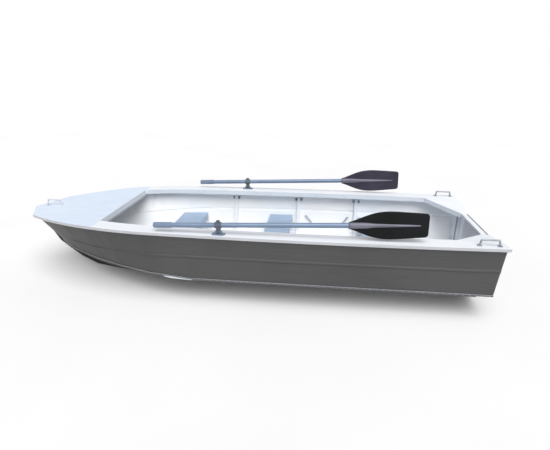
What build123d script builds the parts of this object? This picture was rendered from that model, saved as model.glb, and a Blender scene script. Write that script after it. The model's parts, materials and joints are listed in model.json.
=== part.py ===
"""Open aluminium rowing boat with two stowed oars, sizes in mm.

Frame: +X to the bow, +Y to port, +Z up, origin on the floor under mid-length.
"""
import math
import os

from build123d import *

os.makedirs("parts", exist_ok=True)

# Overall sizes
LENGTH = 3700.0
BEAM = 1326.0
STERN_TUCK = 27.0
BOW_X = LENGTH / 2
STERN_X = -LENGTH / 2
WIDEST_HALF = BEAM / 2
STERN_HALF = WIDEST_HALF - STERN_TUCK
WIDEST_X = -0.324 * BOW_X
BOW_ARC_X = 0.332 * BOW_X
SHOULDER_X = 0.92 * BOW_X
SHOULDER_HALF = 0.392 * WIDEST_HALF

# Deck line seen from the side
DECK_Z = 602.0
DECK_FALL_X = 0.4 * BOW_X
DECK_FALL = 58.0

# Sheet, edges and running gaps
SHEET = 3.0
SEAT_GAP = 0.3
LIP_HEIGHT = 20.0
LIP_OVERHANG = 18.0
SIDE_DECK_WIDTH = 138.0
COAMING_DEPTH = 38.0
FORE_DECK_X = 0.56 * BOW_X
FORE_COAMING_DEPTH = 55.0
AFT_DECK_LENGTH = 309.0
AFT_DECK_X = STERN_X + AFT_DECK_LENGTH

# Bottom and transom
KEEL_Z = 18.0
CHINE_INSET = 108.0
SKI_HALF = 100.0
BOTTOM_SLOPE = 0.42
TRANSOM_X = STERN_X + LIP_OVERHANG
MOTOR_HALF = 240.0
MOTOR_DROP = 52.0
MOTOR_Z = DECK_Z - MOTOR_DROP
FOLD_INSET = 36.0
FOLD_HALF = STERN_HALF - FOLD_INSET

# Pressed rib along each side: line in x and z, half widths and height
RIB_LINE = [
    (TRANSOM_X, DECK_Z - 188),
    (0.12 * BOW_X, DECK_Z - 190),
    (0.46 * BOW_X, DECK_Z - 222),
    (0.61 * BOW_X, DECK_Z - 234),
    (BOW_X, DECK_Z - 241),
]
RIB_END_X = 0.81 * BOW_X
RIB_OUT = 5.0
RIB_FOOT = 14.0
RIB_CREST = 6.0


def aft_radius():
    """Radius of the long aft arc of the deck edge, from its sagitta."""
    return (WIDEST_X - STERN_X) ** 2 / (2 * (WIDEST_HALF - STERN_HALF))


def bow_arc_start():
    """Point and slope angle where the long aft arc meets the bow arc."""
    run = BOW_ARC_X - WIDEST_X
    half = WIDEST_HALF - run ** 2 / (2 * aft_radius())
    return half, math.atan(run / aft_radius())


def lip_half(x):
    """Half breadth of the deck edge at x."""
    if x <= BOW_ARC_X:
        return WIDEST_HALF - (x - WIDEST_X) ** 2 / (2 * aft_radius())
    if x >= SHOULDER_X:
        return SHOULDER_HALF * (BOW_X - x) / (BOW_X - SHOULDER_X)
    half, angle = bow_arc_start()
    run = SHOULDER_X - BOW_ARC_X
    fall = half - SHOULDER_HALF
    along = run * math.cos(angle) + fall * math.sin(angle)
    across = fall * math.cos(angle) - run * math.sin(angle)
    radius = (along ** 2 + across ** 2) / (2 * across)
    centre_x = BOW_ARC_X - radius * math.sin(angle)
    centre_y = half - radius * math.cos(angle)
    return centre_y + math.sqrt(radius ** 2 - (x - centre_x) ** 2)


def deck_z(x):
    """Height of the deck top at x."""
    if x <= DECK_FALL_X:
        return DECK_Z
    run = BOW_X - DECK_FALL_X
    radius = (run ** 2 + DECK_FALL ** 2) / (2 * DECK_FALL)
    return DECK_Z - radius + math.sqrt(radius ** 2 - (x - DECK_FALL_X) ** 2)


# Hull lines, one row per station, x as a share of the half length. Columns: sheer x, chine x,
# chine's inset from the deck edge, chine's depth under the deck level (None: on the even slope
# of the aft bottom), keel x, keel's rise, half breadth of the flat keel strip (None: the bottom
# is a plain V), inward direction (x, y)
STATIONS = [
    (-0.670, -0.670, CHINE_INSET, None, -0.670, 0.0, SKI_HALF, 0.0, -1.0),
    (-0.222, -0.222, CHINE_INSET, None, -0.222, 0.0, SKI_HALF, 0.0, -1.0),
    (0.184, 0.184, CHINE_INSET + 8, None, 0.184, 0.0, SKI_HALF, 0.0, -1.0),
    (0.359, 0.359, CHINE_INSET + 36, 391.0, 0.359, 0.0, SKI_HALF, 0.0, -1.0),
    (0.502, 0.502, CHINE_INSET + 79, 383.0, 0.502, 0.0, 0.9 * SKI_HALF, 0.0, -1.0),
    (0.627, 0.622, CHINE_INSET + 108, 375.0, 0.632, 0.0, 0.4 * SKI_HALF, -0.2, -1.0),
    (0.746, 0.714, CHINE_INSET + 128, 367.0, 0.727, 27.0, None, -0.3, -1.0),
    (0.843, 0.784, CHINE_INSET + 139, 361.0, 0.798, 93.0, None, -0.45, -0.95),
    (0.9135, 0.843, CHINE_INSET + 159, 356.0, 0.856, 175.0, None, -0.7, -0.8),
]
STEM_FOOT_X = 0.8984 * BOW_X
STEM_FOOT_DEPTH = 340.0
STEM_KEEL_DEPTH = 350.0
MITRE = 0.5


def sloped_chine(x, half):
    """Chine point at x on the even slope of the aft bottom."""
    return Vector(x, half, KEEL_Z + BOTTOM_SLOPE * (half - SKI_HALF))


def hull_rows():
    """Sheer, chine and keel points, inward direction and keel strip of every station, port side."""
    stern_half = lip_half(TRANSOM_X)
    rows = [(
        Vector(TRANSOM_X, stern_half - LIP_OVERHANG, DECK_Z - SHEET - SEAT_GAP),
        sloped_chine(TRANSOM_X, stern_half - CHINE_INSET + 11),
        Vector(TRANSOM_X, MITRE, KEEL_Z),
        Vector(0, -1, 0),
        SKI_HALF,
    )]
    for sheer_x, chine_x, inset, depth, keel_x, keel_rise, ski, in_x, in_y in STATIONS:
        sx, cx, kx = sheer_x * BOW_X, chine_x * BOW_X, keel_x * BOW_X
        sheer_half = lip_half(sx - 0.7 * in_x * LIP_OVERHANG) - LIP_OVERHANG
        chine_half = lip_half(cx) - inset
        chine = sloped_chine(cx, chine_half)
        if depth is not None:
            chine = Vector(cx, chine_half, DECK_Z - depth)
        rows.append((
            Vector(sx, sheer_half, deck_z(sx) - SHEET - SEAT_GAP),
            chine,
            Vector(kx, MITRE, KEEL_Z + keel_rise),
            Vector(in_x, in_y, 0),
            ski,
        ))
    stem_x = BOW_X - LIP_OVERHANG
    rows.append((
        Vector(stem_x, MITRE, deck_z(stem_x) - SHEET - SEAT_GAP),
        Vector(STEM_FOOT_X, MITRE, DECK_Z - STEM_FOOT_DEPTH),
        Vector(STEM_FOOT_X - 6, MITRE, DECK_Z - STEM_KEEL_DEPTH),
        Vector(-1.3, 0, 0),
        None,
    ))
    return rows


ROWS = hull_rows()


def hull_at(x):
    """Outer sheer and chine points of the port side at x, between square stations."""
    for low, high in zip(ROWS, ROWS[1:]):
        if low[1].X <= x <= high[1].X:
            share = (x - low[1].X) / (high[1].X - low[1].X)
            sheer = low[0] + (high[0] - low[0]) * share
            chine = low[1] + (high[1] - low[1]) * share
            return sheer, chine
    raise ValueError(x)


def wall_y(x, z):
    """Inner face of the port side at x and z."""
    sheer, chine = hull_at(x)
    low_z = chine.Z + SHEET + SEAT_GAP
    share = (z - low_z) / (sheer.Z - low_z)
    return chine.Y + (sheer.Y - chine.Y) * share - SHEET


def floor_z(x, y):
    """Inner face of the bottom at x and y."""
    sheer, chine = hull_at(x)
    share = max(abs(y) - SKI_HALF, 0) / (chine.Y - SKI_HALF)
    return KEEL_Z + (chine.Z - KEEL_Z) * share + SHEET


def flat_section(points):
    """Plane face through corner points that lie in one plane."""
    first, second, last = points[0], points[1], points[-1]
    plane = Plane(origin=first, x_dir=second - first, z_dir=(second - first).cross(last - first))
    corners = [plane.to_local_coords(p) for p in points]
    with BuildSketch(plane) as section:
        with BuildLine():
            Polyline(*[(c.X, c.Y) for c in corners], close=True)
        make_face()
    return section.sketch


def rib_z(x):
    """Height of the pressed rib's middle on the side plate at x."""
    for (low_x, low_z), (high_x, high_z) in zip(RIB_LINE, RIB_LINE[1:]):
        if x <= high_x:
            return low_z + (high_z - low_z) * (x - low_x) / (high_x - low_x)
    return RIB_LINE[-1][1]


def side_ring(row):
    """Corners of the side plate's cut at one station, with its pressed rib."""
    sheer, chine, keel, inward, ski = row
    low = chine + Vector(0, 0, SHEET + SEAT_GAP)
    along = sheer - low
    rib = low + along * ((rib_z(sheer.X) - low.Z) / along.Z)
    step = along.normalized()
    out = inward * (-RIB_OUT if sheer.X < RIB_END_X else -0.2)
    face = [
        low,
        rib - step * RIB_FOOT,
        rib - step * RIB_CREST + out,
        rib + step * RIB_CREST + out,
        rib + step * RIB_FOOT,
        sheer,
    ]
    return face + [point + inward * SHEET for point in reversed(face)]


STRAIGHT_SHARE = 0.3
STRAIGHT_SAG = 0.6


def bottom_ring(row):
    """Corners of the bottom plate's cut at one station, with the flat keel strip."""
    sheer, chine, keel, inward, ski = row
    up = Vector(0, 0, SHEET)
    share = STRAIGHT_SHARE if ski is None else ski / chine.Y
    knee = keel + (chine - keel) * share
    knee_z = knee.Z - STRAIGHT_SAG if ski is None else keel.Z
    knee = Vector(knee.X, knee.Y, knee_z)
    return [keel, knee, chine, chine + up, knee + up, keel + up]


FACET_STEPS = 3


def facet_solid(rings):
    """Solid of flat facets between cuts, each gap divided into a few steps."""
    steps = [rings[0]]
    for low, high in zip(rings, rings[1:]):
        for number in range(1, FACET_STEPS + 1):
            share = number / FACET_STEPS
            steps.append([a + (b - a) * share for a, b in zip(low, high)])
    faces = [Face(Wire.make_polygon(steps[0])), Face(Wire.make_polygon(steps[-1]))]
    for low, high in zip(steps, steps[1:]):
        for here in range(len(low)):
            there = (here + 1) % len(low)
            faces.append(Face(Wire.make_polygon([low[here], low[there], high[there]])))
            faces.append(Face(Wire.make_polygon([low[here], high[there], high[here]])))
    return Solid(Shell(faces))


def deck_plan(inset, low_x, high_x):
    """Plan of the deck edge, moved in by inset and cut off at two x values."""
    half, angle = bow_arc_start()
    with BuildSketch() as plan:
        with BuildLine():
            aft = ThreePointArc((STERN_X, STERN_HALF), (WIDEST_X, WIDEST_HALF), (BOW_ARC_X, half))
            bow = TangentArc((BOW_ARC_X, half), (SHOULDER_X, SHOULDER_HALF), tangent=(math.cos(angle), -math.sin(angle)))
            front = Line((SHOULDER_X, SHOULDER_HALF), (BOW_X, 0))
            mirror(about=Plane.XZ)
            stern = Line((STERN_X, STERN_HALF), (STERN_X, -STERN_HALF))
        make_face()
        if inset:
            offset(amount=-inset, kind=Kind.INTERSECTION, mode=Mode.REPLACE)
        with BuildSketch(mode=Mode.INTERSECT):
            with Locations(((low_x + high_x) / 2, 0)):
                Rectangle(high_x - low_x, 2000)
    return plan.sketch


def deck_band(top, bottom):
    """Solid between two depths under the deck line, as wide as the boat."""
    tip = DECK_Z - DECK_FALL
    middle_x = (DECK_FALL_X + BOW_X) / 2
    middle = deck_z(middle_x)
    with BuildPart() as band:
        with BuildSketch(Plane.XZ):
            with BuildLine():
                Line((STERN_X, DECK_Z - top), (DECK_FALL_X, DECK_Z - top))
                ThreePointArc((DECK_FALL_X, DECK_Z - top), (middle_x, middle - top), (BOW_X, tip - top))
                Line((BOW_X, tip - top), (BOW_X, tip - bottom))
                ThreePointArc((BOW_X, tip - bottom), (middle_x, middle - bottom), (DECK_FALL_X, DECK_Z - bottom))
                Line((DECK_FALL_X, DECK_Z - bottom), (STERN_X, DECK_Z - bottom))
                Line((STERN_X, DECK_Z - bottom), (STERN_X, DECK_Z - top))
            make_face()
        extrude(amount=800, both=True)
    return band.part


def deck_piece(plan, top, bottom):
    """Part of the deck band that stands under a plan."""
    with BuildPart() as piece:
        add(plan)
        extrude(amount=2 * DECK_Z)
        add(deck_band(top, bottom), mode=Mode.INTERSECT)
    return piece.part


# Hull plating
with BuildPart() as side_port:
    loft(sections=[flat_section(side_ring(row)) for row in ROWS[:6]], ruled=True)
    add(facet_solid([side_ring(row) for row in ROWS[5:]]))
with BuildPart() as side_starboard:
    mirror(side_port.part, about=Plane.XZ)
with BuildPart() as bottom_port:
    loft(sections=[flat_section(bottom_ring(row)) for row in ROWS], ruled=True)
with BuildPart() as bottom_starboard:
    mirror(bottom_port.part, about=Plane.XZ)


def ring_plan(outer, inner, low_x, high_x):
    """Band in plan between two insets of the deck edge."""
    with BuildSketch() as ring:
        add(deck_plan(outer, low_x, high_x))
        add(deck_plan(inner, low_x - 1, high_x + 1), mode=Mode.SUBTRACT)
    return ring.sketch


def port_only(sketch):
    """Port half of a plan."""
    with BuildSketch() as half:
        add(sketch)
        with BuildSketch(mode=Mode.INTERSECT):
            with Locations((0, 500)):
                Rectangle(LENGTH + 10, 1000)
    return half.sketch


# Fore deck with its lip and the coaming along its aft edge
with BuildPart() as fore_deck:
    add(deck_piece(deck_plan(0, FORE_DECK_X, BOW_X), 0, SHEET))
    add(deck_piece(ring_plan(0, SHEET, FORE_DECK_X, BOW_X), 0, LIP_HEIGHT))
    with BuildSketch(Plane.YZ.offset(FORE_DECK_X)):
        with Locations((0, deck_z(FORE_DECK_X) - SHEET / 2 - FORE_COAMING_DEPTH / 2)):
            Rectangle(2 * (lip_half(FORE_DECK_X) - SIDE_DECK_WIDTH), FORE_COAMING_DEPTH - SHEET)
    extrude(amount=SHEET)

# Side decks with lip and coaming
with BuildPart() as side_deck_port:
    add(deck_piece(port_only(ring_plan(0, SIDE_DECK_WIDTH, AFT_DECK_X, FORE_DECK_X)), 0, SHEET))
    add(deck_piece(port_only(ring_plan(0, SHEET, AFT_DECK_X, FORE_DECK_X)), 0, LIP_HEIGHT))
    inner = ring_plan(SIDE_DECK_WIDTH - SHEET, SIDE_DECK_WIDTH, AFT_DECK_X, FORE_DECK_X)
    add(deck_piece(port_only(inner), 0, COAMING_DEPTH))
with BuildPart() as side_deck_starboard:
    mirror(side_deck_port.part, about=Plane.XZ)

# Aft corner decks: a flat outer part, and an inner part that falls to the motor cap
CAP_LENGTH = 50.0
CAP_FRONT_X = STERN_X + CAP_LENGTH
FOLD_FRONT = Vector(AFT_DECK_X, lip_half(AFT_DECK_X) - SIDE_DECK_WIDTH, DECK_Z)
FOLD_BACK = Vector(STERN_X, FOLD_HALF, DECK_Z)
LOW_BACK = Vector(STERN_X, MOTOR_HALF, MOTOR_Z)
SLOPE_NORMAL = (LOW_BACK - FOLD_FRONT).cross(FOLD_BACK - FOLD_FRONT).normalized()
LOW_FRONT_Z = FOLD_FRONT.Z - (
    SLOPE_NORMAL.X * (CAP_FRONT_X - FOLD_FRONT.X) + SLOPE_NORMAL.Y * (MOTOR_HALF - FOLD_FRONT.Y)
) / SLOPE_NORMAL.Z
LOW_FRONT = Vector(CAP_FRONT_X, MOTOR_HALF, LOW_FRONT_Z)
DOWN = Vector(0, 0, -1)

with BuildSketch() as aft_flat:
    with BuildLine():
        Polyline(
            (AFT_DECK_X, FOLD_FRONT.Y), (AFT_DECK_X, 800), (STERN_X, 800), (STERN_X, FOLD_HALF), close=True
        )
    make_face()
    add(deck_plan(0, STERN_X, AFT_DECK_X), mode=Mode.INTERSECT)
with BuildSketch() as aft_lip:
    add(aft_flat.sketch)
    add(deck_plan(SHEET, STERN_X - 1, AFT_DECK_X + 1), mode=Mode.SUBTRACT)
with BuildPart() as aft_deck_port:
    add(deck_piece(aft_flat.sketch, 0, SHEET))
    add(deck_piece(aft_lip.sketch, 0, LIP_HEIGHT))
    slope = flat_section([FOLD_FRONT, FOLD_BACK, LOW_BACK, LOW_FRONT])
    extrude(slope, amount=SHEET, dir=DOWN)
    stern_lip = flat_section([
        FOLD_BACK, LOW_BACK, LOW_BACK + DOWN * LIP_HEIGHT, FOLD_BACK + DOWN * LIP_HEIGHT
    ])
    extrude(stern_lip, amount=SHEET, dir=(1, 0, 0))
    coaming = flat_section([
        FOLD_FRONT, LOW_FRONT, LOW_FRONT + DOWN * COAMING_DEPTH, FOLD_FRONT + DOWN * COAMING_DEPTH
    ])
    extrude(coaming, amount=SHEET, dir=(-1, 0, 0))
with BuildPart() as aft_deck_starboard:
    mirror(aft_deck_port.part, about=Plane.XZ)

# Transom behind the plates' ends, with the cap and pads of the motor place
TRANSOM_FACE_X = TRANSOM_X - SEAT_GAP
TRANSOM_TOP_GAP = 1.2
with BuildPart() as transom:
    with BuildSketch(Plane.YZ.offset(TRANSOM_FACE_X)):
        with BuildLine():
            Polyline(
                (0, KEEL_Z),
                (SKI_HALF, KEEL_Z),
                (ROWS[0][1].Y, ROWS[0][1].Z),
                (ROWS[0][0].Y, ROWS[0][0].Z),
                (FOLD_HALF, ROWS[0][0].Z),
                (MOTOR_HALF, MOTOR_Z - SHEET - TRANSOM_TOP_GAP),
                (0, MOTOR_Z - SHEET - TRANSOM_TOP_GAP),
            )
            mirror(about=Plane.YZ)
        make_face()
    extrude(amount=-SHEET)

CAP_HALF = MOTOR_HALF - 0.6
with BuildPart() as motor_cap:
    with BuildSketch(Plane.XZ):
        with BuildLine():
            Polyline(
                (STERN_X, MOTOR_Z), (CAP_FRONT_X, MOTOR_Z), (CAP_FRONT_X, MOTOR_Z - 12),
                (CAP_FRONT_X - SHEET, MOTOR_Z - 12), (CAP_FRONT_X - SHEET, MOTOR_Z - SHEET),
                (STERN_X + SHEET, MOTOR_Z - SHEET), (STERN_X + SHEET, MOTOR_Z - LIP_HEIGHT),
                (STERN_X, MOTOR_Z - LIP_HEIGHT), close=True,
            )
        make_face()
    extrude(amount=CAP_HALF, both=True)

PAD_HALF = 190.0
PAD_DEPTH = 204.0
PAD_LOW_Z = MOTOR_Z - PAD_DEPTH
with BuildPart() as outer_motor_pad:
    with BuildSketch(Plane.YZ.offset(STERN_X)):
        with Locations((0, (PAD_LOW_Z + MOTOR_Z - LIP_HEIGHT - 1) / 2)):
            RectangleRounded(2 * PAD_HALF, MOTOR_Z - LIP_HEIGHT - 1 - PAD_LOW_Z, 12)
    extrude(amount=TRANSOM_FACE_X - SHEET - STERN_X)

with BuildPart() as inner_motor_pad:
    with BuildSketch(Plane.YZ.offset(TRANSOM_FACE_X)):
        with Locations((0, (PAD_LOW_Z + MOTOR_Z - SHEET - 1) / 2)):
            RectangleRounded(2 * PAD_HALF - 40, MOTOR_Z - SHEET - 1 - PAD_LOW_Z, 12)
    extrude(amount=26)

# Transom posts inside, either side of the motor place
POST_Y = 350.0
POST_WIDTH = 40.0
POST_DEPTH = 26.0
with BuildPart() as transom_post_port:
    with BuildSketch(Plane.YZ.offset(TRANSOM_FACE_X)):
        low = floor_z(TRANSOM_X, POST_Y + POST_WIDTH / 2) + SEAT_GAP
        with Locations((POST_Y, (low + MOTOR_Z) / 2)):
            Rectangle(POST_WIDTH, MOTOR_Z - low)
    extrude(amount=POST_DEPTH)
with BuildPart() as transom_post_starboard:
    mirror(transom_post_port.part, about=Plane.XZ)

# Keel and stem bar, one bent bar outside the plates
KEEL_HALF = 10.0
STEM_TOP_Z = deck_z(BOW_X) - LIP_HEIGHT - 12


def stem_line(away):
    """Keel and stem profile in x and z, moved away from the plates."""
    low, high = ROWS[-1][1], ROWS[-1][0]
    share = (STEM_TOP_Z - low.Z) / (high.Z - low.Z)
    points = [(row[2].X, row[2].Z) for row in ROWS[-5:]]
    points.append((low.X, low.Z))
    points.append((low.X + (high.X - low.X) * share, STEM_TOP_Z))
    moved = [(points[0][0], points[0][1] - away)]
    for before, here, after in zip(points, points[1:], points[2:]):
        lean = math.atan2(here[1] - before[1], here[0] - before[0])
        bend = math.atan2(after[1] - here[1], after[0] - here[0])
        half = (lean + bend) / 2
        reach = away / math.cos((bend - lean) / 2)
        moved.append((here[0] + reach * math.sin(half), here[1] - reach * math.cos(half)))
    lean = math.atan2(points[-1][1] - points[-2][1], points[-1][0] - points[-2][0])
    moved.append((points[-1][0] + away * math.sin(lean), points[-1][1] - away * math.cos(lean)))
    return moved


with BuildPart() as keel:
    with BuildSketch(Plane.XZ):
        with BuildLine():
            Polyline(
                (TRANSOM_X, 0), *stem_line(KEEL_Z), *reversed(stem_line(0.8)),
                (TRANSOM_X, KEEL_Z - 0.8), close=True,
            )
        make_face()
    extrude(amount=KEEL_HALF, both=True)
    with BuildSketch(Plane.XY):
        with BuildLine():
            Polyline(
                (TRANSOM_X, 0), (TRANSOM_X, SKI_HALF - 10), (0.45 * BOW_X, SKI_HALF - 10),
                (0.6 * BOW_X, KEEL_HALF), (0.6 * BOW_X, 0),
            )
            mirror(about=Plane.XZ)
        make_face()
    extrude(amount=KEEL_Z - 0.8)

# Strakes under the bottom, beside the chines
RUNNER_Y = WIDEST_HALF - CHINE_INSET - 75
RUNNER_TOP_HALF = 20.0
RUNNER_FOOT_HALF = 13.0
RUNNER_DEPTH = 15.0
# Columns: x, how far the foot has risen towards the plate, gap under the plate
RUNNER_CUTS = [
    (STERN_X + 110, 0.0, 2 * SEAT_GAP),
    (-0.670 * BOW_X, 0.0, 2 * SEAT_GAP),
    (-0.222 * BOW_X, 0.0, 2 * SEAT_GAP),
    (0.184 * BOW_X, 0.0, 2 * SEAT_GAP),
    ((0.184 + 0.175 / 3) * BOW_X, 0.3, 2 * SEAT_GAP),
    ((0.184 + 0.175 * 2 / 3) * BOW_X, 0.8, 2 * SEAT_GAP),
]


def runner_section(x, rise, gap):
    """Cut of the port strake at x."""
    cut = []
    for y, depth in (
        (RUNNER_Y - RUNNER_FOOT_HALF, RUNNER_DEPTH * (1 - rise)),
        (RUNNER_Y + RUNNER_FOOT_HALF, RUNNER_DEPTH * (1 - rise)),
        (RUNNER_Y + RUNNER_TOP_HALF, 0),
        (RUNNER_Y - RUNNER_TOP_HALF, 0),
    ):
        cut.append(Vector(x, y, floor_z(x, y) - SHEET - gap - depth))
    return flat_section(cut)


with BuildPart() as runner_port:
    loft(sections=[runner_section(*cut) for cut in RUNNER_CUTS], ruled=True)
with BuildPart() as runner_starboard:
    mirror(runner_port.part, about=Plane.XZ)

# Chine rails over the seams of side and bottom
RAIL_HEIGHT = 13.0
RAIL_THICK = 5.0
RAIL_LAST_SHARE = 0.75


def rail_section(row):
    """Cut of the chine rail at one station."""
    sheer, chine, keel, inward, ski = row
    out = inward * -1
    low = chine + out * 0.5 + Vector(0, 0, -1)
    high = low + (sheer - chine).normalized() * RAIL_HEIGHT
    return flat_section([low, high, high + out * RAIL_THICK, low + out * RAIL_THICK])


with BuildPart() as chine_rail_port:
    last = tuple(a + (b - a) * RAIL_LAST_SHARE for a, b in zip(ROWS[-2][:4], ROWS[-1][:4]))
    loft(sections=[rail_section(row) for row in ROWS[:-1] + [last + (None,)]], ruled=True)
with BuildPart() as chine_rail_starboard:
    mirror(chine_rail_port.part, about=Plane.XZ)

# Frames across the inside
FRAME_WIDTH = 30.0
FRAME_DEPTH = 26.0
FRAME_TOP_Z = DECK_Z - SHEET - 4


def frame_part(x):
    """Bent channel that follows the floor and both sides at x."""
    ends = (x - FRAME_WIDTH / 2, x + FRAME_WIDTH / 2)
    top_y = min(wall_y(end, FRAME_TOP_Z) for end in ends) - SEAT_GAP
    corner_y = min(wall_y(end, hull_at(end)[1].Z) for end in ends) - SHEET / 2
    corner_z = max(floor_z(end, corner_y) for end in ends) + SEAT_GAP + 0.3
    low_z = floor_z(x, 0) + SEAT_GAP + 0.3
    with BuildPart() as frame:
        with BuildSketch(Plane.YZ.offset(ends[0])):
            with BuildLine():
                Polyline(
                    (0, low_z), (SKI_HALF, low_z), (corner_y, corner_z), (top_y, FRAME_TOP_Z),
                    (top_y - FRAME_DEPTH, FRAME_TOP_Z), (corner_y - FRAME_DEPTH, corner_z + FRAME_DEPTH / 2),
                    (SKI_HALF, low_z + FRAME_DEPTH), (0, low_z + FRAME_DEPTH),
                )
                mirror(about=Plane.YZ)
            make_face()
        extrude(amount=FRAME_WIDTH)
    return frame.part


FORE_FRAME_X = 0.103 * BOW_X
MIDDLE_FRAME_X = -0.222 * BOW_X
AFT_FRAME_X = -0.514 * BOW_X
with BuildPart() as frame_fore:
    add(frame_part(FORE_FRAME_X))
with BuildPart() as frame_middle:
    add(frame_part(MIDDLE_FRAME_X))
with BuildPart() as frame_aft:
    add(frame_part(AFT_FRAME_X))

# Thwarts: folded channels on angle brackets
THWART_DROP = 234.0
THWART_TOP = DECK_Z - THWART_DROP
THWART_DEPTH = 42.0
THWART_WIDTH = 217.0
THWART_ROUND = 9.0
BRACKET_LEG = 45.0
BRACKET_PAST = 6.0


def thwart_part(aft_x, fore_x):
    """Folded seat between the sides."""
    low_z = THWART_TOP - THWART_DEPTH
    aft_half = wall_y(aft_x, low_z) - 1
    fore_half = wall_y(fore_x, low_z) - 1
    with BuildPart() as seat:
        with BuildSketch(Plane.XY.offset(low_z)):
            with BuildLine():
                Polyline((aft_x, 0), (aft_x, aft_half), (fore_x, fore_half), (fore_x, 0))
                mirror(about=Plane.XZ)
            make_face()
        extrude(amount=THWART_DEPTH)
        fillet(seat.edges().filter_by(Plane.XY).sort_by(Axis.Z)[-4:].filter_by(Axis.Y), radius=THWART_ROUND)
        with BuildSketch(Plane.XZ):
            with Locations(((aft_x + fore_x) / 2, low_z + (THWART_DEPTH - SHEET) / 2)):
                Rectangle(fore_x - aft_x - 2 * SHEET, THWART_DEPTH - SHEET)
        extrude(amount=900, both=True, mode=Mode.SUBTRACT)
    return seat.part


def bracket_part(aft_x, fore_x):
    """Angle along the port side under a seat's end."""
    high_z = THWART_TOP - THWART_DEPTH - SEAT_GAP
    low_z = high_z - BRACKET_LEG
    cuts = []
    for x in (aft_x - BRACKET_PAST, fore_x + BRACKET_PAST):
        gap = SEAT_GAP + 0.1
        pairs = [
            (wall_y(x, high_z) - gap, high_z),
            (wall_y(x, high_z) - gap - BRACKET_LEG, high_z),
            (wall_y(x, high_z) - gap - BRACKET_LEG, high_z - SHEET),
            (wall_y(x, high_z - SHEET) - gap - SHEET, high_z - SHEET),
            (wall_y(x, low_z) - gap - SHEET, low_z),
            (wall_y(x, low_z) - gap, low_z),
        ]
        cuts.append(flat_section([Vector(x, y, z) for y, z in pairs]))
    with BuildPart() as bracket:
        loft(sections=cuts, ruled=True)
    return bracket.part


# Seats. Columns: aft edge x, fore edge x
FORE_SEAT_X = 0.2525 * BOW_X
FORE_SEAT = (FORE_SEAT_X, FORE_SEAT_X + THWART_WIDTH + 14)
MIDDLE_SEAT_X = MIDDLE_FRAME_X + 56
MIDDLE_SEAT = (MIDDLE_SEAT_X, MIDDLE_SEAT_X + THWART_WIDTH)
AFT_SEAT_X = AFT_FRAME_X - 23
AFT_SEAT = (AFT_SEAT_X - THWART_WIDTH, AFT_SEAT_X)
with BuildPart() as thwart_fore:
    add(thwart_part(*FORE_SEAT))
with BuildPart() as thwart_middle:
    add(thwart_part(*MIDDLE_SEAT))
with BuildPart() as thwart_aft:
    add(thwart_part(*AFT_SEAT))
with BuildPart() as brackets_port:
    add(bracket_part(*FORE_SEAT))
    add(bracket_part(*MIDDLE_SEAT))
    add(bracket_part(*AFT_SEAT))
with BuildPart() as brackets_starboard:
    mirror(brackets_port.part, about=Plane.XZ)

# Chocks on the inner sides. Columns: foot x, foot z, head x, head z
CHOCK_FOOT_Z = DECK_Z - 299
CHOCK_HEAD_Z = DECK_Z - 236
CHOCKS = [
    (-0.290 * BOW_X, CHOCK_FOOT_Z, -0.260 * BOW_X, CHOCK_HEAD_Z),
    (-0.450 * BOW_X, CHOCK_FOOT_Z, -0.475 * BOW_X, CHOCK_HEAD_Z),
]
CHOCK_HALF = 8.0
CHOCK_DEPTH = 16.0


def chock_cut(x, z):
    """Level cut of a chock against the port side at x and z."""
    back = min(wall_y(x - CHOCK_HALF, z), wall_y(x + CHOCK_HALF, z)) - SEAT_GAP
    return flat_section([
        Vector(x - CHOCK_HALF, back, z), Vector(x + CHOCK_HALF, back, z),
        Vector(x + CHOCK_HALF, back - CHOCK_DEPTH, z), Vector(x - CHOCK_HALF, back - CHOCK_DEPTH, z),
    ])


with BuildPart() as chocks_port:
    for foot_x, foot_z, head_x, head_z in CHOCKS:
        loft(sections=[chock_cut(foot_x, foot_z), chock_cut(head_x, head_z)], ruled=True)
with BuildPart() as chocks_starboard:
    mirror(chocks_port.part, about=Plane.XZ)

# Handles: bent round bars on small feet
HANDLE_R = 6.0
HANDLE_FOOT_R = 13.0
HANDLE_RISE = 42.0
HANDLE_BEND = 8.0


def handle_part(aft_x, fore_x, y):
    """Fore and aft grab handle standing on the deck, a round bar with mitred bends on two feet."""
    aft_z = deck_z(aft_x)
    fore_z = deck_z(fore_x)
    top_z = max(aft_z, fore_z) + HANDLE_RISE
    low = SEAT_GAP + 0.4
    bar_low = low + 2.5
    fall_radius = ((BOW_X - DECK_FALL_X) ** 2 + DECK_FALL ** 2) / (2 * DECK_FALL)
    with BuildPart() as handle:
        with BuildLine() as path:
            Polyline(
                (aft_x, y, aft_z + bar_low), (aft_x + HANDLE_BEND, y, top_z),
                (fore_x - HANDLE_BEND, y, top_z), (fore_x, y, fore_z + bar_low),
            )
        leg = (HANDLE_BEND, 0, top_z - aft_z - bar_low)
        with BuildSketch(Plane(origin=(aft_x, y, aft_z + bar_low), z_dir=leg)):
            Circle(HANDLE_R)
        sweep(path=path.line, transition=Transition.RIGHT)
        for x, z in ((aft_x, aft_z), (fore_x, fore_z)):
            lean = max(x - DECK_FALL_X, 0) / fall_radius
            along = (math.cos(lean), 0, -math.sin(lean))
            up = (math.sin(lean), 0, math.cos(lean))
            with BuildSketch(Plane(origin=(x, y, z + low), x_dir=along, z_dir=up)):
                Rectangle(2 * HANDLE_FOOT_R, 2 * HANDLE_FOOT_R)
            extrude(amount=5)
    return handle.part


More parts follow.
